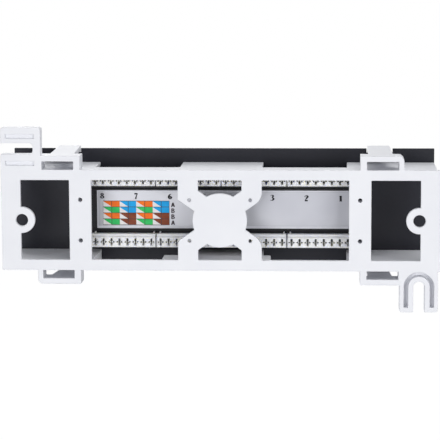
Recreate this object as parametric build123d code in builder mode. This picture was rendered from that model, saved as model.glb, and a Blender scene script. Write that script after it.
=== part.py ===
# An eight-port patch panel on its wall bracket, in millimetres.
# X runs along the panel, Z is up, and the wall is the plane Y = 0. Depths are measured from the wall
# towards the panel, so a depth of d lies at Y = -d. The origin is midway between the two wall screws.

import os
from math import cos, radians, tan

from build123d import *

os.makedirs("parts", exist_ok=True)

# Bracket: the frame against the wall
bracket_width = 254.0
bracket_height = 58.8
standoff = 42.0
plate_thickness = 3.0
rail_height = 6.0
end_bar_width = 11.2
outer_rib_inset = 46.0
outer_rib_width = 12.8
inner_rib_x = 18.45
inner_rib_width = 11.7

# Bracket: the central web, a disc on four struts
disc_radius = 15.8
strut_angle = 34.7
strut_width = 10.9
strut_offset = 1.6
strut_round = 8.0
strut_round_left = 3.0

# Bracket: screw bosses and pilot holes
screw_inset = 11.9
screw_hole_radius = 3.55
screw_boss_radius = 7.6
pilot_z = 11.9
outer_pilot_radius = 1.25
outer_pilot_boss_side = 7.8
outer_pilot_boss_depth = 11.0
inner_pilot_x = 17.6
inner_pilot_radius = 1.1

# Bracket: roof and floor between the frame and the panel
roof_thickness = 2.4
floor_thickness = 6.2
floor_skin = 2.0
wall_inset = 1.7
cutout_inner_x = 24.0
cutout_rib_gap = 7.5
roof_cutout_depth = 14.9
roof_cutout_round = 2.0
floor_lip_depth = 19.5
floor_lip_left = 10.0
floor_lip_right = 5.0
floor_lip_round = 2.0

# Bracket: loops, snap arms and ears
loop_inset = 20.8
loop_width = 25.2
loop_height = 8.1
loop_depth = 14.0
loop_side = 3.8
loop_outer_side = 3.0
loop_bar = 3.3
loop_round = 3.0
arm_offset = 4.8
arm_root_width = 14.2
arm_tip_width = 13.0
arm_thickness = 3.2
arm_flare = 1.4
hook_reach = 2.0
hook_land = 0.8
hook_length = 3.4
arm_clearance = 0.2
ear_thickness = 8.4
ear_round = 1.5
ear_width = 23.2
lower_ear_drop = 23.8
lower_ear_inset = 1.0
upper_ear_rise = 24.5
ear_slot_width = 6.5
lower_slot_drop = 9.1
upper_slot_rise = 12.2
upper_slot_length = 18.7
upper_slot_round = 2.3
groove_width = 2.5
groove_radius = 7.5
groove_depth = 6.0
groove_margin = 2.7
upper_groove_offset = 7.8
upper_groove_drop = 0.7
upper_groove_depth = 2.0
upper_groove_start = 3.7

# Panel
panel_inset = 1.7
panel_thickness = 1.6
notch_clearance = 0.6
notch_depth = 2.6
panel_foot_gap = 0.9

# Jack module: shared sizes (an overlap is how far one form starts inside its neighbour)
port_count = 8
port_pitch = 19.23
board_thickness = 1.6
board_margin = 0.5
board_panel_gap = 9.4
fit_gap = 0.15
overlap = 1.0

# Punch-down blocks and contacts
blocks_per_row = 4
contacts_per_block = 8
contact_end_margin = 2.49
row_inset = 4.1
block_gap = 0.5
block_height = 6.1
block_foot_height = 7.0
block_length = 15.0
block_foot_length = 8.5
wire_slot_width = 1.2
wire_slot_height = 4.2
post_width = 0.8
post_inset = 1.2
post_height = 1.5
post_setback = 0.5
post_length = 4.0
blade_width = 2.9
blade_thickness = 0.4
blade_side_gap = 0.3
blade_face_gap = 0.25
blade_recess = 1.2
blade_fork_gap = 0.5
blade_fork_length = 4.5

# Rear cover and label
cover_board_gap = 2.0
cover_top_gap = 0.55
cover_foot_gap = 2.75
cover_wall = 1.4
cover_rim = 1.1
cover_rise = 2.4
cover_step = 2.4
label_side_margin = 4.47
label_margin = 0.9
label_thickness = 0.2

# Jacks
jack_gap = 3.33
jack_height = 15.5
jack_reach = 2.4
jack_flange = 0.8
jack_flange_thickness = 1.4
jack_latch_width = 6.0
jack_latch_reach = 0.6
jack_latch_length = 1.2
socket_width = 11.9
socket_height = 7.0
socket_back_wall = 1.4
socket_top = 3.2
latch_slot_width = 6.3
latch_slot_height = 1.7
latch_key_width = 3.4
latch_key_height = 1.4
comb_side_gap = 0.42
comb_height = 2.4
comb_front = 1.6
wires_per_jack = 8
spring_pitch = 1.02
spring_width = 0.42
spring_thickness = 0.36
spring_bend = 0.7
spring_tip_drop = 4.6
spring_tip_gap = 3.05

# Worked-out places: bracket
half_width = bracket_width / 2
half_height = bracket_height / 2
window_half = half_height - rail_height
outer_rib_x = half_width - outer_rib_inset
end_window_outer = half_width - end_bar_width
end_window_inner = outer_rib_x + outer_rib_width / 2
mid_window_outer = outer_rib_x - outer_rib_width / 2
rib_out = inner_rib_x + inner_rib_width / 2
rib_in = inner_rib_x - inner_rib_width / 2
slot_x = half_width - screw_inset
wall_end = half_width - wall_inset
cutout_outer_x = outer_rib_x - cutout_rib_gap
floor_z = -half_height + floor_thickness
loop_z = half_height + loop_height
loop_outer_x = half_width - loop_inset
loop_inner_x = loop_outer_x - loop_width
arm_inner_x = loop_inner_x + arm_offset
arm_inner_z = loop_z + arm_flare - arm_thickness
ear_inner_x = half_width - ear_width
lower_slot_z = -half_height - lower_slot_drop
upper_slot_z = half_height + upper_slot_rise
upper_slot_inner_x = half_width - upper_slot_length

# Worked-out places: panel, board and cover. The module is carried by the panel.
panel_width = bracket_width - 2 * panel_inset
panel_front = standoff + panel_thickness
panel_top = arm_inner_z - notch_clearance + notch_depth
panel_bottom = arm_inner_z - panel_foot_gap
board_front = standoff - board_panel_gap
board_depth = board_front - board_thickness
cover_depth = board_depth - cover_board_gap
cover_top = half_height - roof_thickness - cover_top_gap
cover_height = cover_top - floor_z - cover_foot_gap
board_height = cover_height - 2 * (fit_gap + cover_rim)
module_z = cover_top - cover_height / 2

# Worked-out places: jacks, blocks and contacts
jack_front = panel_front + jack_reach
jack_width = port_pitch - jack_gap
socket_depth = jack_front - board_front - socket_back_wall
block_pitch = port_pitch * port_count / blocks_per_row
block_width = block_pitch - block_gap
contact_pitch = (block_width - 2 * contact_end_margin) / (contacts_per_block - 1)
block_depth = board_depth - block_length
block_step_depth = board_depth - block_foot_length
blade_slot_width = blade_width + 2 * blade_side_gap
blade_slot_height = blade_thickness + 2 * blade_face_gap
module_width = block_pitch * blocks_per_row
board_width = module_width + 2 * board_margin
cover_width = board_width + 2 * (fit_gap + cover_rim)
row_offset = board_height / 2 - row_inset
cover_rise_height = 2 * (row_offset - cover_step) - block_foot_height
port_xs = [(i - (port_count - 1) / 2) * port_pitch for i in range(port_count)]
block_xs = [(i - (blocks_per_row - 1) / 2) * block_pitch for i in range(blocks_per_row)]
contact_xs = [(i - (contacts_per_block - 1) / 2) * contact_pitch for i in range(contacts_per_block)]
rows = {"upper": module_z + row_offset, "lower": module_z - row_offset}


def at_depth(depth):
    """The plane parallel to the wall at a depth: local x is X, local y is Z."""
    return Plane.XZ.offset(depth)


def rect(x0, x1, y0, y1, mode=Mode.ADD):
    """A rectangle between two corners of the sketch."""
    with Locations(((x0 + x1) / 2, (y0 + y1) / 2)):
        Rectangle(abs(x1 - x0), abs(y1 - y0), mode=mode)


def save(part, name):
    """Label a finished piece and write its STEP file."""
    part.label = name
    export_step(part, f"parts/{name}.step")


def strut_edge(x, side):
    """Height of a strut's upper (side 1) or lower (side -1) edge at a distance x from the middle."""
    slope = radians(strut_angle)
    return x * tan(slope) + (strut_offset + side * strut_width / 2) / cos(slope)


# One snap arm, at +X and above the frame. It grows from the bar of its loop and hooks over the panel.
hook_back = panel_front + arm_clearance
hook_tip = hook_back + hook_length
with BuildPart() as snap_arm:
    with BuildSketch(Plane.YZ.offset(arm_inner_x)):
        with BuildLine():
            Polyline(
                (-loop_depth, loop_z - loop_bar),
                (-loop_depth, loop_z),
                (-hook_tip, loop_z + arm_flare),
                (-hook_tip, arm_inner_z),
                (-hook_back - hook_land, arm_inner_z - hook_reach),
                (-hook_back, arm_inner_z - hook_reach),
                (-hook_back, arm_inner_z),
                (-standoff + arm_clearance, arm_inner_z),
                close=True,
            )
        make_face()
    extrude(amount=arm_root_width)
    with BuildSketch(Plane.XY):
        with BuildLine():
            Polyline(
                (arm_inner_x, 0),
                (arm_inner_x, -hook_tip),
                (arm_inner_x + arm_tip_width, -hook_tip),
                (arm_inner_x + arm_root_width, -loop_depth),
                (arm_inner_x + arm_root_width, 0),
                close=True,
            )
        make_face()
    extrude(amount=2 * loop_z, mode=Mode.INTERSECT)

# The wall bracket, one moulding
screw_places = [(side * slot_x, 0) for side in (1, -1)]
with BuildPart() as wall_bracket:
    # Frame with its five windows, the central web and the screw bosses
    with BuildSketch(at_depth(0)) as frame_face:
        Rectangle(bracket_width, bracket_height)
        for side in (1, -1):
            rect(side * end_window_inner, side * end_window_outer, -window_half, window_half, Mode.SUBTRACT)
        rect(-mid_window_outer, mid_window_outer, -window_half, window_half, Mode.SUBTRACT)
        with BuildSketch(mode=Mode.PRIVATE) as web:
            with BuildLine():
                Polyline(
                    (0, strut_edge(0, -1)),
                    (rib_out, strut_edge(rib_out, -1)),
                    (rib_out, window_half + overlap),
                    (rib_in, window_half + overlap),
                    (rib_in, strut_edge(rib_in, 1)),
                    (0, strut_edge(0, 1)),
                    close=True,
                )
            make_face()
            mirror(about=Plane.YZ)
            mirror(about=Plane.XZ)
            Circle(disc_radius)
        add(web.sketch)
        for side, up, radius in ((1, -1, strut_round_left), (-1, 1, strut_round), (-1, -1, strut_round)):
            corner = (side * rib_out, up * strut_edge(rib_out, -1))
            fillet(frame_face.vertices().sort_by_distance(corner)[0], radius=radius)
        with Locations(*screw_places):
            Circle(screw_boss_radius)
    extrude(amount=plate_thickness)

    # Bosses behind the frame, and the holes for screws
    outer_pilots = [(sx * outer_rib_x, sz * pilot_z) for sx in (1, -1) for sz in (1, -1)]
    inner_pilots = [(sx * inner_pilot_x, sz * pilot_z) for sx in (1, -1) for sz in (1, -1)]
    with BuildSketch(at_depth(plate_thickness)):
        with Locations(*outer_pilots):
            Rectangle(outer_pilot_boss_side, outer_pilot_boss_side)
    extrude(amount=outer_pilot_boss_depth - plate_thickness)
    with BuildSketch(at_depth(0)):
        with Locations(*screw_places):
            Circle(screw_hole_radius)
        with Locations(*outer_pilots):
            Circle(outer_pilot_radius)
        with Locations(*inner_pilots):
            Circle(inner_pilot_radius)
    extrude(amount=outer_pilot_boss_depth, mode=Mode.SUBTRACT)

    # Roof, with its two cut-outs over the punch-down blocks
    with BuildSketch(Plane.XY.offset(half_height - roof_thickness)) as roof:
        rect(-wall_end, wall_end, -standoff, 0)
        for side in (1, -1):
            rect(side * cutout_inner_x, side * cutout_outer_x, -standoff, -roof_cutout_depth, Mode.SUBTRACT)
            corner = (side * cutout_inner_x, -roof_cutout_depth)
            fillet(roof.vertices().sort_by_distance(corner)[0], radius=roof_cutout_round)
    extrude(amount=roof_thickness)

    # Floor, cut away under the blocks but for a lip at the inner end of each cut-out
    with BuildSketch(Plane.XY.offset(-half_height)) as floor:
        rect(-wall_end, wall_end, -standoff, 0)
        for side, lip in ((1, floor_lip_left), (-1, floor_lip_right)):
            lip_x = cutout_inner_x + lip
            rect(side * lip_x, side * cutout_outer_x, -standoff, -plate_thickness, Mode.SUBTRACT)
            rect(side * cutout_inner_x, side * lip_x, -standoff, -floor_lip_depth, Mode.SUBTRACT)
        lip_corner = (-cutout_inner_x - floor_lip_right, -floor_lip_depth)
        fillet(floor.vertices().sort_by_distance(lip_corner)[0], radius=floor_lip_round)
    extrude(amount=floor_thickness)

    # Cores that leave the deep floor with two skins, open towards the panel
    core_low = -half_height + floor_skin
    core_high = floor_z - floor_skin
    with BuildSketch(at_depth(standoff)):
        rect(-cutout_inner_x + floor_skin, cutout_inner_x - floor_skin, core_low, core_high)
        for side in (1, -1):
            rect(side * (cutout_outer_x + floor_skin), side * (wall_end - floor_skin), core_low, core_high)
    extrude(amount=plate_thickness - standoff, mode=Mode.SUBTRACT)

    # Loops on the frame's long edges, each with a slot behind its bar
    for side in (1, -1):
        for up in (1, -1):
            with BuildSketch(at_depth(0)) as loop:
                rect(side * loop_inner_x, side * loop_outer_x, up * (half_height - overlap), up * loop_z)
                outer_corner = (side * loop_outer_x, up * loop_z)
                if up * side < 0:
                    fillet(loop.vertices().sort_by_distance(outer_corner)[0], radius=loop_round)
                slot_inner = side * (loop_inner_x + loop_side)
                slot_outer = side * (loop_outer_x - loop_outer_side)
                rect(slot_inner, slot_outer, up * half_height, up * (loop_z - loop_bar), Mode.SUBTRACT)
            extrude(amount=loop_depth)

    # Lower ear at -X: an open slot with a groove round it
    ear_outer_x = half_width - lower_ear_inset
    ear_foot = -half_height - lower_ear_drop
    with BuildSketch(at_depth(0)) as lower_ear:
        rect(-ear_outer_x, -ear_inner_x, ear_foot, -half_height + overlap)
        fillet(lower_ear.vertices().group_by(Axis.Y)[0], radius=ear_round)
        with Locations((-slot_x, lower_slot_z)):
            Circle(ear_slot_width / 2, mode=Mode.SUBTRACT)
        half_slot = ear_slot_width / 2
        rect(-slot_x - half_slot, -slot_x + half_slot, ear_foot, lower_slot_z, Mode.SUBTRACT)
    extrude(amount=ear_thickness)
    with BuildSketch(at_depth(0)):
        for radius, mode in (
            (groove_radius + groove_width / 2, Mode.ADD),
            (groove_radius - groove_width / 2, Mode.SUBTRACT),
        ):
            with Locations((-slot_x, lower_slot_z)):
                Circle(radius, mode=mode)
            rect(-slot_x - radius, -slot_x + radius, ear_foot + groove_margin, lower_slot_z, mode)
    extrude(amount=groove_depth, mode=Mode.SUBTRACT)

    # Upper ear at +X: its slot opens sideways, with a straight groove above and below it
    with BuildSketch(at_depth(0)) as upper_ear:
        rect(ear_inner_x, half_width, half_height - overlap, half_height + upper_ear_rise)
        fillet(upper_ear.vertices().group_by(Axis.Y)[-1], radius=ear_round)
        low = upper_slot_z - ear_slot_width / 2
        high = upper_slot_z + ear_slot_width / 2
        with BuildSketch(mode=Mode.PRIVATE) as side_slot:
            rect(upper_slot_inner_x, half_width + overlap, low, high)
            fillet(side_slot.vertices().group_by(Axis.X)[0], radius=upper_slot_round)
        add(side_slot.sketch, mode=Mode.SUBTRACT)
    extrude(amount=ear_thickness)
    with BuildSketch(at_depth(0)):
        for side in (1, -1):
            z = upper_slot_z - upper_groove_drop + side * upper_groove_offset
            rect(
                ear_inner_x + upper_groove_start,
                half_width - groove_margin,
                z - groove_width / 2,
                z + groove_width / 2,
            )
    extrude(amount=upper_groove_depth, mode=Mode.SUBTRACT)

    # Snap arms
    add(snap_arm.part)
    add(mirror(snap_arm.part, about=Plane.YZ, mode=Mode.PRIVATE))
    add(mirror(snap_arm.part, about=Plane.XY, mode=Mode.PRIVATE))
    add(mirror(mirror(snap_arm.part, about=Plane.YZ, mode=Mode.PRIVATE), about=Plane.XY, mode=Mode.PRIVATE))
save(wall_bracket.part, "wall_bracket")

# Front panel: sheet with a notch for each upper snap arm and an opening for each jack
with BuildPart() as front_panel:
    with BuildSketch(at_depth(standoff)):
        rect(-panel_width / 2, panel_width / 2, -panel_bottom, panel_top)
        for side in (1, -1):
            rect(
                side * (arm_inner_x - notch_clearance),
                side * (arm_inner_x + arm_root_width + notch_clearance),
                panel_top - notch_depth,
                panel_top + overlap,
                Mode.SUBTRACT,
            )
        with Locations(*[(x, module_z) for x in port_xs]):
            Rectangle(jack_width + 2 * fit_gap, jack_height + 2 * fit_gap, mode=Mode.SUBTRACT)
    extrude(amount=panel_thickness)
save(front_panel.part, "front_panel")

# Circuit board between the blocks and the jacks
with BuildPart() as circuit_board:
    with BuildSketch(at_depth(board_depth)):
        with Locations((0, module_z)):
            Rectangle(board_width, board_height)
    extrude(amount=board_thickness)
save(circuit_board.part, "circuit_board")

# Rear cover: a tray round the board with a window for each row of blocks and a raised middle
with BuildPart() as rear_cover:
    with BuildSketch(at_depth(cover_depth)):
        with Locations((0, module_z)):
            Rectangle(cover_width, cover_height)
    extrude(amount=board_front - cover_depth)
    with BuildSketch(at_depth(cover_depth + cover_wall)):
        with Locations((0, module_z)):
            Rectangle(board_width + 2 * fit_gap, board_height + 2 * fit_gap)
    extrude(amount=standoff, mode=Mode.SUBTRACT)
    with BuildSketch(at_depth(cover_depth - cover_rise)):
        with Locations((0, module_z)):
            Rectangle(cover_width, cover_rise_height)
    extrude(amount=cover_rise)
    with BuildSketch(at_depth(cover_depth - cover_rise + cover_wall)):
        with Locations((0, module_z)):
            Rectangle(cover_width - 2 * cover_rim, cover_rise_height - 2 * cover_wall)
    extrude(amount=cover_rise, mode=Mode.SUBTRACT)
    with BuildSketch(at_depth(cover_depth - cover_rise)):
        with Locations(*[(0, z) for z in rows.values()]):
            Rectangle(module_width, block_foot_height + 2 * fit_gap)
    extrude(amount=cover_rise + cover_wall, mode=Mode.SUBTRACT)
save(rear_cover.part, "rear_cover")

# Label on the raised middle of the cover
label_depth = cover_depth - cover_rise - label_thickness
with BuildPart() as label:
    with BuildSketch(at_depth(label_depth)):
        with Locations((0, module_z)):
            Rectangle(cover_width - 2 * label_side_margin, cover_rise_height - 2 * label_margin)
    extrude(amount=label_thickness)
save(label.part, "label")

# Punch-down blocks and their contacts
for row, row_z in rows.items():
    for number, block_x in enumerate(block_xs, start=1):
        places = [(block_x + x, row_z) for x in contact_xs]
        with BuildPart() as block:
            with BuildSketch(at_depth(block_depth)):
                with Locations((block_x, row_z)):
                    Rectangle(block_width, block_height)
            extrude(amount=board_depth - block_depth)
            with BuildSketch(at_depth(block_step_depth)):
                with Locations((block_x, row_z)):
                    Rectangle(block_width, block_foot_height)
            extrude(amount=board_depth - block_step_depth)
            with BuildSketch(at_depth(block_step_depth + post_setback)):
                for side in (1, -1):
                    post_x = block_x + side * (block_width / 2 - post_inset)
                    top = row_z + block_foot_height / 2
                    rect(post_x, post_x - side * post_width, top - overlap, top + post_height)
            extrude(amount=post_length)
            with BuildSketch(at_depth(block_depth)):
                with Locations(*places):
                    Rectangle(wire_slot_width, wire_slot_height)
                    Rectangle(blade_slot_width, blade_slot_height)
            extrude(amount=board_depth - block_depth, mode=Mode.SUBTRACT)
        save(block.part, f"idc_block_{row}_{number}")

        blade_near = block_depth + blade_recess
        with BuildPart() as blades:
            with BuildSketch(Plane.XY.offset(row_z - blade_thickness / 2)):
                for x, z in places:
                    rect(x - blade_width / 2, x + blade_width / 2, -board_depth, -blade_near)
                    fork_end = -blade_near - blade_fork_length
                    half_gap = blade_fork_gap / 2
                    rect(x - half_gap, x + half_gap, fork_end, -blade_near, Mode.SUBTRACT)
            extrude(amount=blade_thickness)
        save(blades.part, f"idc_contacts_{row}_{number}")

# Jacks, each with its eight spring wires
wires_half = (spring_pitch * (wires_per_jack - 1) + spring_width) / 2
comb_half = wires_half + comb_side_gap
for number, port_x in enumerate(port_xs, start=1):
    with BuildPart() as jack:
        with BuildSketch(at_depth(board_front)):
            with Locations((port_x, module_z)):
                Rectangle(jack_width, jack_height)
        extrude(amount=jack_front - board_front)
        with BuildSketch(at_depth(standoff - arm_clearance)):
            with Locations((port_x, module_z)):
                Rectangle(jack_width + 2 * jack_flange, jack_height + 2 * jack_flange)
        extrude(amount=-jack_flange_thickness)
        for side in (1, -1):
            latch_z = module_z + side * jack_height / 2
            with BuildSketch(Plane.YZ.offset(port_x - jack_latch_width / 2)):
                with BuildLine():
                    near = -panel_front - fit_gap
                    Polyline(
                        (near, latch_z - side * overlap),
                        (near, latch_z + side * jack_latch_reach),
                        (near - jack_latch_length, latch_z),
                        (near - jack_latch_length, latch_z - side * overlap),
                        close=True,
                    )
                make_face()
            extrude(amount=jack_latch_width)
        socket_low = module_z + socket_top - socket_height
        with BuildSketch(at_depth(jack_front)):
            half = socket_width / 2
            rect(port_x - half, port_x + half, socket_low, module_z + socket_top)
            half = latch_slot_width / 2
            rect(port_x - half, port_x + half, socket_low - latch_slot_height, socket_low)
            half = latch_key_width / 2
            key_low = socket_low - latch_slot_height - latch_key_height
            rect(port_x - half, port_x + half, key_low, socket_low)
        extrude(amount=-socket_depth, mode=Mode.SUBTRACT)
        comb_z = module_z + socket_top + comb_height
        with BuildSketch(at_depth(jack_front - comb_front)):
            half = comb_half
            rect(port_x - half, port_x + half, module_z + socket_top, comb_z)
        extrude(amount=board_front - jack_front + comb_front, mode=Mode.SUBTRACT)
    save(jack.part, f"jack_{number}")

    # Spring wires run forward above the socket, turn at the front and slope back down into it
    run_z = comb_z - fit_gap
    turn = jack_front - comb_front - fit_gap
    tip = board_front + spring_tip_gap
    with BuildPart() as springs:
        for wire in range(wires_per_jack):
            with BuildSketch(Plane.YZ.offset(port_x - wires_half + wire * spring_pitch)):
                with BuildLine():
                    Polyline(
                        (-board_front, run_z),
                        (-turn, run_z),
                        (-tip, run_z - spring_tip_drop),
                        (-turn + spring_bend, run_z - spring_thickness),
                        (-board_front, run_z - spring_thickness),
                        close=True,
                    )
                make_face()
            extrude(amount=spring_width)
    save(springs.part, f"jack_contacts_{number}")
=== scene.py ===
# Eight-port patch panel on its wall bracket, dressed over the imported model.
# Metres, in the part's frame: +X along the panel, +Y into the wall, +Z up. The camera stands on
# the wall's side, so the picture's left is +X. Shapes are drawn in millimetres and scaled by MM.
# A depth is a distance from the wall's plane towards the panel, so it is -Y.

from math import cos, pi, radians, sin

import bmesh
import bpy
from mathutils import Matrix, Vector


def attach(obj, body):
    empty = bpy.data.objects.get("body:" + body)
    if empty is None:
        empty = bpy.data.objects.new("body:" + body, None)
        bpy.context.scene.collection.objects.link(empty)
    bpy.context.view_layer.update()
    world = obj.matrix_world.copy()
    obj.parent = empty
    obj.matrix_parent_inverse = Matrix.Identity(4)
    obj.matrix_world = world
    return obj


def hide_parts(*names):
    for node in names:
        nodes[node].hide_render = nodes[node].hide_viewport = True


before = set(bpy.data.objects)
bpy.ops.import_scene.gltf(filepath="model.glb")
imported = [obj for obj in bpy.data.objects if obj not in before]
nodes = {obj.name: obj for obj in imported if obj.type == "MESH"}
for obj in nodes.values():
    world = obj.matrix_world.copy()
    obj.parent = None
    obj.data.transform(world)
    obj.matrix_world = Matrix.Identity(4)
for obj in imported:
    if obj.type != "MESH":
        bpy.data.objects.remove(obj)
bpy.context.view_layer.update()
MM = 0.001

# Sizes that the part's source shares with the pieces made here, in millimetres
PORT_PITCH = 19.23
PORT_COUNT = 8
MODULE_Z = 3.0
ROW_OFFSET = 18.1
BLOCK_PITCH = 38.46
BLOCKS_IN_ROW = 4
CONTACT_PITCH = 4.711
CONTACTS_IN_BLOCK = 8
WIRES_IN_JACK = 8
BLOCK_FRONT = 16.0
BOARD_BACK = 31.0
BOARD_FRONT = 32.6
LABEL_FACE = 26.4
LABEL_THICKNESS = 0.2
PANEL_FRONT = 43.6
MIDDLE_PORT = (PORT_COUNT + 1) / 2


# Colours and materials
def linear(hex_colour):
    """An sRGB hex colour as linear red, green, blue and alpha."""
    parts = [int(hex_colour[i : i + 2], 16) / 255 for i in (1, 3, 5)]
    return [p / 12.92 if p <= 0.04045 else ((p + 0.055) / 1.055) ** 2.4 for p in parts] + [1.0]


def add(tree, kind, inputs=None, **settings):
    """Adds a node, with its settings and with values or links on its inputs."""
    node = tree.nodes.new(kind)
    for name, value in settings.items():
        setattr(node, name, value)
    for name, value in (inputs or {}).items():
        if isinstance(value, bpy.types.NodeSocket):
            tree.links.new(value, node.inputs[name])
        else:
            node.inputs[name].default_value = value
    return node


def finish(
    name, light, dark, roughness, grain, bump, cloud, metallic=0.0, stretch=(1, 1, 1), **shader
):
    """A surface whose colour drifts from dark to light over cloud metres, with a fine grain in its
    roughness and relief. Roughness is a pair of limits, grain the grain's size in metres and bump
    its height in metres. Stretch scales the grain's coordinates: a small value draws it out."""
    material = bpy.data.materials.new(name)
    material.use_nodes = True
    tree = material.node_tree
    tree.nodes.clear()
    place = add(tree, "ShaderNodeTexCoord").outputs["Object"]
    along = add(tree, "ShaderNodeMapping", {"Vector": place, "Scale": stretch}).outputs["Vector"]
    drift = add(tree, "ShaderNodeTexNoise", {"Vector": place, "Scale": 1 / cloud, "Detail": 3.0})
    fine = add(tree, "ShaderNodeTexNoise", {"Vector": along, "Scale": 1 / grain, "Detail": 2.0})
    # The part of the noise's range that is spread over the whole blend
    span = {"From Min": 0.3, "From Max": 0.7}
    blend = add(tree, "ShaderNodeMapRange", {"Value": drift.outputs[0], **span})
    colour = add(
        tree,
        "ShaderNodeMix",
        {"Factor": blend.outputs[0], "A": linear(dark), "B": linear(light)},
        data_type="RGBA",
    )
    rough = add(
        tree,
        "ShaderNodeMapRange",
        {"Value": fine.outputs[0], **span, "To Min": roughness[0], "To Max": roughness[1]},
    )
    relief = add(
        tree, "ShaderNodeBump", {"Strength": 1.0, "Distance": bump, "Height": fine.outputs[0]}
    )
    principled = add(
        tree,
        "ShaderNodeBsdfPrincipled",
        {
            "Base Color": colour.outputs[2],
            "Roughness": rough.outputs[0],
            "Metallic": metallic,
            "Normal": relief.outputs[0],
            **{key.replace("_", " "): value for key, value in shader.items()},
        },
    )
    add(tree, "ShaderNodeOutputMaterial", {"Surface": principled.outputs[0]})
    return material


# White ABS, injection-moulded in a finely spark-eroded tool: even, cool white, soft satin sheen
white_abs = finish(
    "white_moulded_abs",
    "#EDEEF2",
    "#E8E9EE",
    roughness=(0.5, 0.62),
    grain=0.0006,
    bump=0.000008,
    cloud=0.03,
    Specular_IOR_Level=0.25,
)
# Steel sheet with a black polyester powder coat: near black, satin, with faint orange peel
powder_coat = finish(
    "black_powder_coat",
    "#1D1E27",
    "#181921",
    roughness=(0.42, 0.54),
    grain=0.0012,
    bump=0.00002,
    cloud=0.05,
    Specular_IOR_Level=0.2,
)
# Black glass-filled nylon cover, moulded: a little greyer, with a coarser spark-eroded grain
black_nylon = finish(
    "black_moulded_nylon",
    "#202025",
    "#1A1A1E",
    roughness=(0.42, 0.56),
    grain=0.0007,
    bump=0.000015,
    cloud=0.02,
    Specular_IOR_Level=0.3,
)
# Black PBT of the jack housings, moulded in polished tools: darker and shinier than the cover
black_pbt = finish(
    "black_moulded_pbt",
    "#1C1C1F",
    "#17171A",
    roughness=(0.28, 0.38),
    grain=0.0008,
    bump=0.000004,
    cloud=0.01,
    Specular_IOR_Level=0.32,
)
# Off-white polycarbonate of the punch-down blocks, moulded: warm next to the bracket, slightly
# translucent
block_pc = finish(
    "off_white_polycarbonate",
    "#FFFEFB",
    "#FCFBF8",
    roughness=(0.32, 0.42),
    grain=0.0009,
    bump=0.000004,
    cloud=0.012,
    IOR=1.58,
    Specular_IOR_Level=0.15,
    Subsurface_Weight=1.0,
    Subsurface_Radius=(1.0, 0.97, 0.85),
    Subsurface_Scale=0.003,
)
# Tinned phosphor bronze strip, stamped: grey, slightly dull metal
tinned_bronze = finish(
    "tinned_phosphor_bronze",
    "#C4C5C4",
    "#A9AAA8",
    roughness=(0.28, 0.42),
    grain=0.0003,
    bump=0.000003,
    cloud=0.002,
    metallic=1.0,
)
# Phosphor bronze wire with a gold flash, drawn: bright yellow metal with a very fine grain
gold_flash = finish(
    "gold_plated_wire",
    "#E2BE6A",
    "#CFA450",
    roughness=(0.16, 0.26),
    grain=0.0003,
    bump=0.000002,
    cloud=0.002,
    metallic=1.0,
)
# Glass-epoxy board under green solder mask: glossy green, a little lighter in places
solder_mask = finish(
    "green_solder_mask",
    "#1C6B3E",
    "#0F4A2A",
    roughness=(0.2, 0.3),
    grain=0.0015,
    bump=0.000008,
    cloud=0.004,
    IOR=1.5,
)
# Metallised polyester film, printed and matt-laminated: silver grey, faintly brushed lengthwise
label_film = finish(
    "silver_polyester_film",
    "#B3B4BA",
    "#A2A3AB",
    roughness=(0.38, 0.48),
    grain=0.0004,
    bump=0.000003,
    cloud=0.05,
    metallic=0.35,
    stretch=(0.04, 1, 1),
)


def ink(name, colour, shade):
    """Screen-printed ink: a flat, slightly uneven matt film."""
    return finish(
        name,
        colour,
        shade,
        roughness=(0.5, 0.62),
        grain=0.0005,
        bump=0.000002,
        cloud=0.003,
        Specular_IOR_Level=0.2,
    )


black_ink = ink("black_ink", "#17161A", "#1E1D22")
line_ink = ink("grey_line_ink", "#45393F", "#3A3339")
white_ink = ink("white_ink", "#EDEAEA", "#E4E2E4")
# Painted highlight: a pale grey film, made like an ink, for the lighter strips along the label's
# edges
edge_highlight_ink = ink("painted_edge_highlight", "#D6D7DD", "#CDCED6")
orange_ink = ink("orange_ink", "#F87B22", "#EC6A22")
blue_ink = ink("blue_ink", "#1FA8EA", "#189CE0")
green_ink = ink("green_ink", "#39C468", "#2DB05A")
brown_ink = ink("brown_ink", "#84432B", "#783823")


# Objects
def keep(obj, slot_name, *replaced):
    """The finished piece rides on the part, and stands for the CAD nodes that it replaces."""
    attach(obj, "root")
    if replaced:
        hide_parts(*replaced)


def new_object(name, data, *materials):
    """An object at the origin with this mesh, curve, light or camera, and its materials."""
    obj = bpy.data.objects.new(name, data)
    bpy.context.scene.collection.objects.link(obj)
    for material in materials:
        data.materials.append(material)
    return obj


def settle(obj):
    """Turns an object and its modifiers into one plain mesh object at the origin."""
    bpy.context.view_layer.update()
    evaluated = obj.evaluated_get(bpy.context.evaluated_depsgraph_get())
    mesh = bpy.data.meshes.new_from_object(evaluated)
    mesh.transform(obj.matrix_world)
    name, materials = obj.name, list(obj.data.materials)
    bpy.data.objects.remove(obj)
    if not mesh.materials:
        for material in materials:
            mesh.materials.append(material)
    mesh.name = name
    return new_object(name, mesh)


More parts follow.
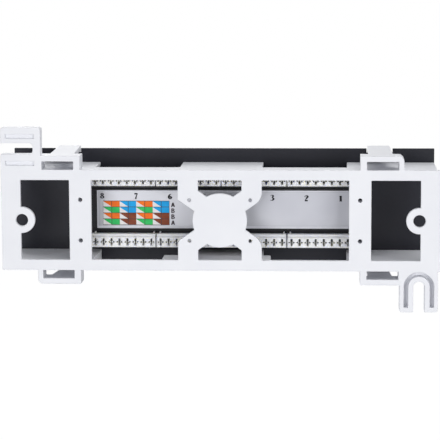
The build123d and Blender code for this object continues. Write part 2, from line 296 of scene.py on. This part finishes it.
def dressed_copy(node_name, piece_name, material, rounding):
    """A merged copy of a CAD node in its own material, with edges rounded by so many mm."""
    cad = nodes[node_name].data
    mesh = bpy.data.meshes.new(piece_name)
    mesh.from_pydata([v.co[:] for v in cad.vertices], [], [p.vertices[:] for p in cad.polygons])
    shape = bmesh.new()
    shape.from_mesh(mesh)
    bmesh.ops.remove_doubles(shape, verts=shape.verts, dist=1e-6)
    for face in shape.faces:
        face.smooth = True
    shape.to_mesh(mesh)
    shape.free()
    obj = new_object(piece_name, mesh, material)
    rounded = obj.modifiers.new("rounded_edges", "BEVEL")
    rounded.width = rounding * MM
    rounded.segments = 2
    rounded.limit_method = "ANGLE"
    rounded.angle_limit = radians(46)
    rounded.use_clamp_overlap = False
    rounded.loop_slide = False
    shading = obj.modifiers.new("flat_face_shading", "WEIGHTED_NORMAL")
    shading.keep_sharp = True
    return settle(obj)


def dress(node_name, piece_name, material, rounding, slot_name):
    """Puts a dressed copy in the place of a CAD node."""
    keep(dressed_copy(node_name, piece_name, material, rounding), slot_name, node_name)


def copies_tree():
    """Geometry Nodes: copies of the incoming shape in a straight row."""
    tree = bpy.data.node_groups.new("row_of_copies", "GeometryNodeTree")
    sockets = {}
    for name, kind, way in (
        ("Shape", "NodeSocketGeometry", "INPUT"),
        ("Count", "NodeSocketInt", "INPUT"),
        ("First", "NodeSocketVector", "INPUT"),
        ("Step", "NodeSocketVector", "INPUT"),
        ("Material", "NodeSocketMaterial", "INPUT"),
        ("Row", "NodeSocketGeometry", "OUTPUT"),
    ):
        sockets[name] = tree.interface.new_socket(name, in_out=way, socket_type=kind)
    given = add(tree, "NodeGroupInput").outputs
    line = add(
        tree,
        "GeometryNodeMeshLine",
        {"Count": given["Count"], "Start Location": given["First"], "Offset": given["Step"]},
        mode="OFFSET",
    )
    placed = add(
        tree,
        "GeometryNodeInstanceOnPoints",
        {"Points": line.outputs["Mesh"], "Instance": given["Shape"]},
    )
    real = add(tree, "GeometryNodeRealizeInstances", {"Geometry": placed.outputs["Instances"]})
    coated = add(
        tree,
        "GeometryNodeSetMaterial",
        {"Geometry": real.outputs["Geometry"], "Material": given["Material"]},
    )
    add(tree, "NodeGroupOutput", {"Row": coated.outputs["Geometry"]})
    return tree, {name: socket.identifier for name, socket in sockets.items()}


row_of_copies, row_inputs = copies_tree()


def repeated(obj, material, *rows):
    """Repeats a shape in one row after another. Each row is a count, its first place and its step,
    in millimetres."""
    for number, (count, first, step) in enumerate(rows):
        row = obj.modifiers.new(f"row_{number}", "NODES")
        row.node_group = row_of_copies
        row[row_inputs["Count"]] = count
        row[row_inputs["First"]] = Vector(first) * MM
        row[row_inputs["Step"]] = Vector(step) * MM
        row[row_inputs["Material"]] = material
    return settle(obj)


def centred(count, pitch):
    """A row along X with its middle at zero, for use in repeated."""
    return count, (-(count - 1) / 2 * pitch, 0, 0), (pitch, 0, 0)


# The lower and the upper row of blocks, for use in repeated
BOTH_ROWS = (2, (0, 0, MODULE_Z - ROW_OFFSET), (0, 0, 2 * ROW_OFFSET))


def prism(outline, low, high, axis):
    """A closed solid from a flat outline in millimetres. Axis 'Z' reads points as X, Y and axis
    'Y' reads them as X, Z."""
    shape = bmesh.new()
    if axis == "Z":
        corners = [shape.verts.new((x * MM, y * MM, low * MM)) for x, y in outline]
        rise = Vector((0, 0, (high - low) * MM))
    else:
        corners = [shape.verts.new((x * MM, low * MM, z * MM)) for x, z in outline]
        rise = Vector((0, (high - low) * MM, 0))
    base = shape.faces.new(corners)
    grown = bmesh.ops.extrude_face_region(shape, geom=[base])
    risen = [part for part in grown["geom"] if isinstance(part, bmesh.types.BMVert)]
    bmesh.ops.translate(shape, vec=rise, verts=risen)
    bmesh.ops.recalc_face_normals(shape, faces=shape.faces)
    return shape


def rectangle(x0, x1, y0, y1):
    """The corners of a rectangle."""
    return [(x0, y0), (x1, y0), (x1, y1), (x0, y1)]


def solid(name, shape, material):
    """An object made from a drawn shape, which it uses up."""
    mesh = bpy.data.meshes.new(name + "_pattern")
    shape.to_mesh(mesh)
    shape.free()
    return new_object(name, mesh, material)


# Wall bracket, panel, cover, blocks and jacks: the CAD shapes with their edges rounded
BRACKET_ROUNDING = 0.35
PANEL_ROUNDING = 0.25
COVER_ROUNDING = 0.25
BLOCK_ROUNDING = 0.2
JACK_ROUNDING = 0.15
dress("wall_bracket", "bracket_moulding", white_abs, BRACKET_ROUNDING, "bracket_plastic")
dress("front_panel", "panel_sheet", powder_coat, PANEL_ROUNDING, "black_steel")
dress("rear_cover", "cover_moulding", black_nylon, COVER_ROUNDING, "black_plastic")
for row in ("upper", "lower"):
    for number in range(1, BLOCKS_IN_ROW + 1):
        node, piece = f"idc_block_{row}_{number}", f"punch_block_{row}_{number}"
        dress(node, piece, block_pc, BLOCK_ROUNDING, "block_plastic")
for number in range(1, PORT_COUNT + 1):
    dress(f"jack_{number}", f"jack_housing_{number}", black_pbt, JACK_ROUNDING, "black_plastic")
nodes["circuit_board"].material_slots[0].material = solder_mask
nodes["label"].material_slots[0].material = label_film

# Punch-down contacts: forked blades with a lead-in between chamfered tips, sixty-four alike. Half
# of the outline is drawn, from the board to the foot of the slit between the tines, and mirrored
BLADE_THICKNESS = 0.6
BLADE_HALF_WIDTH, TINES_HALF_WIDTH, SLIT_HALF_WIDTH = 1.45, 0.8, 0.1
TIP_SETBACK = 0.5
# Depths below the tips
NECK_DEPTH, SLIT_DEPTH, LEAD_IN_DEPTH, CHAMFER_DEPTH = 5.0, 4.5, 0.9, 0.4
fork_tip = -BLOCK_FRONT - TIP_SETBACK
half_fork = [
    (BLADE_HALF_WIDTH, -BOARD_BACK),
    (BLADE_HALF_WIDTH, fork_tip - NECK_DEPTH - 0.5),
    (TINES_HALF_WIDTH, fork_tip - NECK_DEPTH),
    (TINES_HALF_WIDTH, fork_tip - CHAMFER_DEPTH),
    (0.7, fork_tip),
    (0.45, fork_tip),
    (SLIT_HALF_WIDTH, fork_tip - LEAD_IN_DEPTH),
    (SLIT_HALF_WIDTH, fork_tip - SLIT_DEPTH),
]
fork_outline = half_fork + [(-x, y) for x, y in reversed(half_fork)]
fork = prism(fork_outline, -BLADE_THICKNESS / 2, BLADE_THICKNESS / 2, "Z")
contacts = repeated(
    solid("contact_forks", fork, tinned_bronze),
    tinned_bronze,
    centred(CONTACTS_IN_BLOCK, CONTACT_PITCH),
    centred(BLOCKS_IN_ROW, BLOCK_PITCH),
    BOTH_ROWS,
)
contact_nodes = [
    f"idc_contacts_{row}_{number}"
    for row in ("upper", "lower")
    for number in range(1, BLOCKS_IN_ROW + 1)
]
keep(contacts, "tinned_metal", *contact_nodes)

# Block shoulders: the raised lip along each block's upper side, just behind its face
LIP_LENGTH = 37.8
LIP_NEAR, LIP_FAR = 16.6, 21.0
LIP_FOOT, LIP_TOP = 3.0, 4.75
lip_outline = rectangle(-LIP_LENGTH / 2, LIP_LENGTH / 2, -LIP_FAR, -LIP_NEAR)
lip = solid("block_shoulders", prism(lip_outline, LIP_FOOT, LIP_TOP, "Z"), block_pc)
lip_edges = lip.modifiers.new("rounded_edges", "BEVEL")
lip_edges.width = BLOCK_ROUNDING * MM
lip_edges.segments = 2
shoulders = repeated(lip, block_pc, centred(BLOCKS_IN_ROW, BLOCK_PITCH), BOTH_ROWS)
keep(shoulders, "block_plastic")

# Painted shade: thin black fins on the board, between the blocks and just short of their faces,
# stand in for the shadow in the gaps between the blocks
GAP_SHADE_THICKNESS = 0.4
GAP_SHADE_FOOT, GAP_SHADE_TOP = -2.8, 3.8
GAP_SHADE_SETBACK = 0.15
gap_shade_outline = rectangle(-GAP_SHADE_THICKNESS / 2, GAP_SHADE_THICKNESS / 2, GAP_SHADE_FOOT, GAP_SHADE_TOP)
gap_shade_fin = solid(
    "painted_gap_shade",
    prism(gap_shade_outline, -BOARD_BACK, -BLOCK_FRONT - GAP_SHADE_SETBACK, "Y"),
    black_nylon,
)
gap_shades = repeated(gap_shade_fin, black_nylon, centred(BLOCKS_IN_ROW - 1, BLOCK_PITCH), BOTH_ROWS)
keep(gap_shades, "black_plastic")

# Jack spring wires: along the roof of the socket, round a small bend at the mouth and back down
# into it. Points are Y, Z
WIRE_RADIUS = 0.19
WIRE_PITCH = 1.02
RUN_HEIGHT = 8.25
BEND_DEPTH = 43.4
BEND_RADIUS = 0.55
WIRE_TIP = (-35.8, 3.95)
wire_points = [(-BOARD_FRONT, RUN_HEIGHT)]
for angle in [pi * k / 10 for k in range(9)]:
    bend_y = -BEND_DEPTH - BEND_RADIUS * sin(angle)
    bend_z = RUN_HEIGHT - BEND_RADIUS + BEND_RADIUS * cos(angle)
    wire_points.append((bend_y, bend_z))
wire_points.append(WIRE_TIP)
wire_path = bpy.data.curves.new("spring_wire", "CURVE")
wire_path.dimensions = "3D"
wire_path.bevel_depth = WIRE_RADIUS * MM
wire_path.bevel_resolution = 2
wire_path.use_fill_caps = True
wire_line = wire_path.splines.new("POLY")
wire_line.points.add(len(wire_points) - 1)
for point, (y, z) in zip(wire_line.points, wire_points):
    point.co = (0, y * MM, z * MM, 1)
wires = repeated(
    settle(new_object("spring_wires", wire_path)),
    gold_flash,
    centred(WIRES_IN_JACK, WIRE_PITCH),
    centred(PORT_COUNT, PORT_PITCH),
)
for face in wires.data.polygons:
    face.use_smooth = True
keep(wires, "gold_wire", *[f"jack_contacts_{number}" for number in range(1, PORT_COUNT + 1)])

# Cover: three upright grip ribs on the strip that shows beyond each end of the label
RIB_THICKNESS = 0.6
RIB_HEIGHT = 22.4
RIB_PITCH = 1.25
MIDDLE_RIB_X = 76.45
RIB_NEAR, RIB_FAR = 26.3, 26.75
rib_outline = rectangle(-RIB_THICKNESS / 2, RIB_THICKNESS / 2, -RIB_HEIGHT / 2, RIB_HEIGHT / 2)
ribs = repeated(
    solid("cover_ribs", prism(rib_outline, -RIB_FAR, -RIB_NEAR, "Y"), black_nylon),
    black_nylon,
    (3, (MIDDLE_RIB_X - RIB_PITCH, 0, MODULE_Z), (RIB_PITCH, 0, 0)),
    (2, (0, 0, 0), (-2 * MIDDLE_RIB_X, 0, 0)),
)
keep(ribs, "black_plastic")


# Bold figures with thick stems and thin turns, and two letters, as on the label. Each stroke is a
# list of points with place across, height and pen width, in figure heights. A stroke that ends
# with True is a closed ring.
FIGURES = {
    1: (
        [(0.27, 0.0, 0.15), (0.27, 0.98, 0.15), False],
        [(0.09, 0.83, 0.04), (0.25, 0.94, 0.1), False],
        [(0.08, 0.025, 0.05), (0.46, 0.025, 0.05), False],
    ),
    2: (
        [
            (0.07, 0.7, 0.09),
            (0.1, 0.88, 0.06),
            (0.25, 0.965, 0.07),
            (0.39, 0.86, 0.13),
            (0.4, 0.7, 0.15),
            (0.26, 0.42, 0.1),
            (0.06, 0.1, 0.05),
            False,
        ],
        [(0.04, 0.065, 0.13), (0.44, 0.065, 0.13), False],
    ),
    3: (
        [
            (0.06, 0.8, 0.06),
            (0.13, 0.93, 0.06),
            (0.25, 0.965, 0.07),
            (0.36, 0.87, 0.13),
            (0.36, 0.7, 0.13),
            (0.2, 0.535, 0.05),
            False,
        ],
        [
            (0.2, 0.535, 0.05),
            (0.37, 0.44, 0.12),
            (0.41, 0.25, 0.15),
            (0.3, 0.06, 0.1),
            (0.16, 0.03, 0.06),
            (0.06, 0.1, 0.1),
            False,
        ],
    ),
    4: (
        [(0.34, 0.0, 0.14), (0.34, 0.98, 0.14), False],
        [(0.33, 0.94, 0.06), (0.05, 0.29, 0.06), False],
        [(0.03, 0.27, 0.09), (0.49, 0.27, 0.09), False],
    ),
    5: (
        [(0.14, 0.92, 0.13), (0.44, 0.92, 0.13), False],
        [(0.13, 0.95, 0.05), (0.1, 0.56, 0.05), False],
        [
            (0.1, 0.56, 0.05),
            (0.27, 0.57, 0.1),
            (0.4, 0.42, 0.15),
            (0.39, 0.2, 0.14),
            (0.24, 0.04, 0.07),
            (0.06, 0.08, 0.09),
            False,
        ],
    ),
    6: (
        [(0.43, 0.95, 0.05), (0.24, 0.83, 0.1), (0.13, 0.6, 0.14), (0.11, 0.33, 0.14), False],
        [(0.11, 0.32, 0.14), (0.26, 0.58, 0.06), (0.41, 0.32, 0.15), (0.27, 0.035, 0.06), True],
    ),
    7: (
        [(0.05, 0.91, 0.14), (0.46, 0.91, 0.14), False],
        [(0.43, 0.88, 0.07), (0.29, 0.45, 0.09), (0.2, 0.0, 0.12), False],
    ),
    8: (
        [(0.12, 0.76, 0.115), (0.26, 0.95, 0.07), (0.4, 0.76, 0.115), (0.26, 0.56, 0.08), True],
        [(0.08, 0.27, 0.125), (0.26, 0.53, 0.08), (0.44, 0.27, 0.135), (0.26, 0.04, 0.07), True],
    ),
    "A": (
        [(0.05, 0.0, 0.12), (0.26, 0.96, 0.12), False],
        [(0.47, 0.0, 0.12), (0.26, 0.96, 0.12), False],
        [(0.12, 0.3, 0.11), (0.4, 0.3, 0.11), False],
    ),
    "B": (
        [(0.09, 0.0, 0.12), (0.09, 1.0, 0.12), False],
        [
            (0.09, 0.94, 0.11),
            (0.3, 0.92, 0.1),
            (0.4, 0.76, 0.11),
            (0.3, 0.58, 0.1),
            (0.09, 0.55, 0.11),
            False,
        ],
        [
            (0.09, 0.53, 0.11),
            (0.33, 0.5, 0.1),
            (0.45, 0.28, 0.12),
            (0.33, 0.07, 0.1),
            (0.09, 0.05, 0.11),
            False,
        ],
    ),
}
# A figure's middle, and how far a stroke reaches to each side of its points: this share of the pen
# width, less the loss
FIGURE_MIDDLE = (0.26, 0.5)
PEN_SHARE, PEN_LOSS = 1.15, 0.03


def smooth_stroke(points, ring, steps=6):
    """A curve through the points of a stroke, with so many samples to each gap."""
    points = [Vector(point) for point in points]
    if len(points) == 2:
        return points
    last = len(points) - 1
    samples = []
    for i in range(last + ring):
        before = points[i - 1] if ring or i else points[0]
        start, end = points[i], points[(i + 1) % len(points)]
        after = points[(i + 2) % len(points)] if ring or i + 2 <= last else points[last]
        slope = end - before
        curve = 2 * before - 5 * start + 4 * end - after
        twist = 3 * start - before - 3 * end + after
        for k in range(steps):
            t = k / steps
            samples.append((2 * start + slope * t + curve * t**2 + twist * t**3) / 2)
    return samples if ring else samples + [points[last]]


# Print: flat films of ink just proud of what they are printed on
class Print:
    """Collects printed shapes on a plane across Y and makes them one piece. Outward is 1 or -1,
    the way that the printed side faces along Y."""

    # Of one layer of ink, and of a figure, in millimetres
    INK_THICKNESS = 0.02
    FIGURE_THICKNESS = 0.03

    def __init__(self, face, outward, inks):
        self.face, self.outward, self.inks = face, outward, inks
        self.shape = bmesh.new()

    def inked_mesh(self, name):
        """An empty mesh that has all the inks, so that its faces keep their ink's number."""
        mesh = bpy.data.meshes.new(name)
        for material in self.inks:
            mesh.materials.append(material)
        return mesh

    def add_shape(self, shape, ink_number):
        """Adds a drawn shape in one ink, and uses it up."""
        for face in shape.faces:
            face.material_index = ink_number
        mesh = self.inked_mesh("ink_shape")
        shape.to_mesh(mesh)
        shape.free()
        self.shape.from_mesh(mesh)
        bpy.data.meshes.remove(mesh)

    def patch(self, outline, ink_number, layer):
        """A patch of ink, its outline given as X, Z points in millimetres."""
        height = self.face + self.outward * self.INK_THICKNESS * layer
        self.add_shape(prism(outline, self.face, height, "Y"), ink_number)

    def figure(self, sign, x, z, height, ink_number, spread=1.35, weight=1.0):
        """A bold figure or letter centred on a point, read from the printed side. Spread widens
        it and weight thickens its strokes."""
        low, high = self.face, self.face + self.outward * self.FIGURE_THICKNESS
        middle_across, middle_up = FIGURE_MIDDLE
        for *points, ring in FIGURES[sign]:
            samples = smooth_stroke(points, ring)
            last = len(samples) - 1
            shape = bmesh.new()
            loops = []
            for i, (across, up, width) in enumerate(samples):
                ahead = samples[(i + 1) % len(samples)] if ring else samples[min(i + 1, last)]
                behind = samples[i - 1] if ring else samples[max(i - 1, 0)]
                run = (ahead - behind).xy.normalized()
                side = Vector((-run.y, run.x)) * (PEN_SHARE * width - PEN_LOSS) * weight
                left, right = Vector((across, up)) + side, Vector((across, up)) - side
                loop = []
                for edge, y in ((left, low), (right, low), (right, high), (left, high)):
                    edge_x = x - self.outward * (edge.x - middle_across) * spread * height
                    edge_z = z + (edge.y - middle_up) * height
                    loop.append(shape.verts.new((edge_x * MM, y * MM, edge_z * MM)))
                loops.append(loop)
            pairs = list(zip(loops, loops[1:])) + ([(loops[-1], loops[0])] if ring else [])
            for here, there in pairs:
                for k in range(4):
                    shape.faces.new((here[k], here[k - 1], there[k - 1], there[k]))
            if not ring:
                shape.faces.new(loops[0])
                shape.faces.new(reversed(loops[-1]))
            bmesh.ops.recalc_face_normals(shape, faces=shape.faces)
            self.add_shape(shape, ink_number)

    def piece(self, name):
        """All that was printed, as one object."""
        mesh = self.inked_mesh(name)
        self.shape.to_mesh(mesh)
        self.shape.free()
        return new_object(name, mesh)


# Label print: painted edge highlights, port numbers and the wiring chart, four rows of eight
# colour cells
BLACK, LINE, WHITE, ORANGE, BLUE, GREEN, BROWN, EDGE_HIGHLIGHT, FILM = range(9)
inks = [black_ink, line_ink, white_ink, orange_ink, blue_ink, green_ink, brown_ink, edge_highlight_ink]
label_print = Print(-LABEL_FACE, 1, [*inks, label_film])
# Painted highlight: pale strips along the lower and upper edges stand in for the bowed film's
# sheen;
# the strip at the +X end also lifts the frame's shade on that end of the label
HIGHLIGHT_REACH = 74.1
LOWER_HIGHLIGHT = (-8.25, -6.9)
UPPER_HIGHLIGHT = (13.75, 14.25)
END_HIGHLIGHT_WIDTH = 0.7
for low, high in (LOWER_HIGHLIGHT, UPPER_HIGHLIGHT):
    label_print.patch(rectangle(-HIGHLIGHT_REACH, HIGHLIGHT_REACH, low, high), EDGE_HIGHLIGHT, 1)
end_highlight = rectangle(HIGHLIGHT_REACH - END_HIGHLIGHT_WIDTH, HIGHLIGHT_REACH, LOWER_HIGHLIGHT[1], UPPER_HIGHLIGHT[0])
label_print.patch(end_highlight, EDGE_HIGHLIGHT, 1)

# The film's plain end, which runs on behind the bracket's frame, a hair proud of the label
FILM_PROUD = 0.01
film_outline = rectangle(-75.6, -74.0, -8.3, 14.3)
film_end = prism(film_outline, -LABEL_FACE - LABEL_THICKNESS, -LABEL_FACE + FILM_PROUD, "Y")
label_print.add_shape(film_end, FILM)

# The port numbers' own pitch, place and height, and the slight slope that they stand at
NUMBER_PITCH = 20.14
NUMBERS_X, NUMBERS_Z = 0.6, 10.35
NUMBER_HEIGHT = 3.4
NUMBERS_SLOPE = 0.0095
for port in range(1, PORT_COUNT + 1):
    x = NUMBERS_X + (port - MIDDLE_PORT) * NUMBER_PITCH
    label_print.figure(port, x, NUMBERS_Z + NUMBERS_SLOPE * x, NUMBER_HEIGHT, BLACK)

# The chart: a grey ground shows as lines round the cells and between them. Every other cell is
# split by a diagonal, white below it
CHART_COLUMNS = 8
CHART_ROWS = ((ORANGE, BLUE), (GREEN, BLUE), (ORANGE, BROWN), (GREEN, BROWN))
CHART_LETTERS = "ABBA"
LETTERS_X = 29.1
LETTER_HEIGHT = 2.7
LETTER_SPREAD = 1.4
# A letter's middle, as a share of its row's height from the top
LETTER_DROP = 0.62
chart_left, chart_top, cell_width, cell_height = 70.5, 7.95, 4.9, 3.56
border, row_gap, left_gap, right_gap = 0.15, 0.16, 0.3, 0.05
chart_right = chart_left - CHART_COLUMNS * cell_width
chart_foot = chart_top - len(CHART_ROWS) * cell_height
ground = rectangle(
    chart_left + border, chart_right - border, chart_top + border, chart_foot - border
)
label_print.patch(ground, LINE, 1)
for row, pair in enumerate(CHART_ROWS):
    top = chart_top - row * cell_height - row_gap
    low = chart_top - (row + 1) * cell_height + row_gap
    for column in range(CHART_COLUMNS):
        colour = pair[column // 2 % 2]
        left = chart_left - column * cell_width
        right = left - cell_width
        if column % 2 == 0:
            label_print.patch([(left, low), (right, low), (left, top)], WHITE, 2)
            label_print.patch([(left, top), (right, low), (right, top)], colour, 2)
        else:
            plain_cell = rectangle(left - left_gap, right + right_gap, low, top)
            label_print.patch(plain_cell, colour, 2)
    letter, letter_z = CHART_LETTERS[row], chart_top - (row + LETTER_DROP) * cell_height
    label_print.figure(letter, LETTERS_X, letter_z, LETTER_HEIGHT, LINE, LETTER_SPREAD)
keep(label_print.piece("label_print"), "label_film")

# Port numbers on the panel's front, above each jack, in the one ink that is printed there
PANEL_NUMBERS_Z = 17.5
PANEL_NUMBER_HEIGHT = 3.6
panel_print = Print(-PANEL_FRONT, -1, [white_ink])
for port in range(1, PORT_COUNT + 1):
    x = (port - MIDDLE_PORT) * PORT_PITCH
    panel_print.figure(port, x, PANEL_NUMBERS_Z, PANEL_NUMBER_HEIGHT, 0, weight=0.7)
keep(panel_print.piece("port_numbers"), "black_steel")


def seen_directly(tree):
    """1 on rays that bring the background to the eye, straight, mirrored or refracted, and 0 on
    rays that only bring light to the part."""
    ray = add(tree, "ShaderNodeLightPath").outputs
    seen = ray["Is Camera Ray"]
    for kind in ("Is Glossy Ray", "Is Transmission Ray"):
        seen = add(tree, "ShaderNodeMath", {0: seen, 1: ray[kind]}, operation="MAXIMUM").outputs[0]
    return seen


PLAIN_WHITE = (1, 1, 1, 1)

# Stage: a pale floor well below the wall-mounted part, in metres
FLOOR_REACH, FLOOR_Z = 12, -1.5
floor_outline = rectangle(-FLOOR_REACH, FLOOR_REACH, -FLOOR_REACH, FLOOR_REACH)
floor_mesh = bpy.data.meshes.new("floor")
floor_mesh.from_pydata([(x, y, FLOOR_Z) for x, y in floor_outline], [], [(0, 1, 2, 3)])
# Matt white paper: it takes the part's shadow, and a glow that lights nothing else keeps it pale
FLOOR_GLOW = 0.78
floor_paper = bpy.data.materials.new("white_paper_floor")
floor_paper.use_nodes = True
paper = floor_paper.node_tree
paper.nodes.clear()
glow_share = add(
    paper, "ShaderNodeMath", {0: seen_directly(paper), 1: FLOOR_GLOW}, operation="MULTIPLY"
)
matt = add(paper, "ShaderNodeBsdfDiffuse", {"Color": linear("#F2F2F3")})
glow = add(paper, "ShaderNodeEmission", {"Color": PLAIN_WHITE, "Strength": glow_share.outputs[0]})
both = add(paper, "ShaderNodeAddShader", {0: matt.outputs[0], 1: glow.outputs[0]})
add(paper, "ShaderNodeOutputMaterial", {"Surface": both.outputs[0]})
new_object("floor", floor_mesh, floor_paper)

# Studio: surroundings that look plain white and give the part a weak, even light
SKY_LIGHT = 0.27
scene = bpy.context.scene
scene.view_settings.view_transform = "Standard"
world = bpy.data.worlds.new("studio")
world.use_nodes = True
scene.world = world
sky = world.node_tree
sky.nodes.clear()
soft = add(sky, "ShaderNodeBackground", {"Color": linear("#F4F6FA"), "Strength": SKY_LIGHT})
plain = add(sky, "ShaderNodeBackground", {"Color": PLAIN_WHITE, "Strength": 1.0})
mixed = add(
    sky,
    "ShaderNodeMixShader",
    {0: seen_directly(sky), 1: soft.outputs[0], 2: plain.outputs[0]},
)
add(sky, "ShaderNodeOutputWorld", {"Surface": mixed.outputs[0]})


def lamp(name, place, size, power):
    """A square soft lamp aimed at the middle of the part. Place and size are in metres, power in
    watts."""
    data = bpy.data.lights.new(name, "AREA")
    data.shape = "SQUARE"
    data.size = size
    data.energy = power
    obj = new_object(name, data)
    obj.location = place
    obj.rotation_euler = (-Vector(place)).to_track_quat("-Z", "Y").to_euler()


# Two keys stand low on the camera's side, one to each hand. Then come a weak lamp at the far left,
# one above, and one beyond the panel for its front, which the camera doesn't see
lamp("key_lamp", (0.55, 1.7, -0.05), 0.8, 11.4)
lamp("left_lamp", (1.6, 0.45, 0.25), 1.0, 2)
lamp("right_lamp", (-0.8, 1.6, -0.06), 0.8, 11.6)
lamp("top_lamp", (-0.75, 0.3, 1.4), 1.2, 9.5)
lamp("front_lamp", (0.5, -1.8, 0.7), 1.2, 16)

# Camera, at the photograph's place
camera_data = bpy.data.cameras.new("camera")
camera_data.sensor_width = 36
camera_data.lens = 166.17
camera_data.clip_start, camera_data.clip_end = 0.05, 60
camera = new_object("camera", camera_data)
camera.location = (-0.0637, 1.1609, 0.1632)
camera.rotation_euler = (radians(82.03), radians(0.242), radians(183.098))
scene.camera = camera
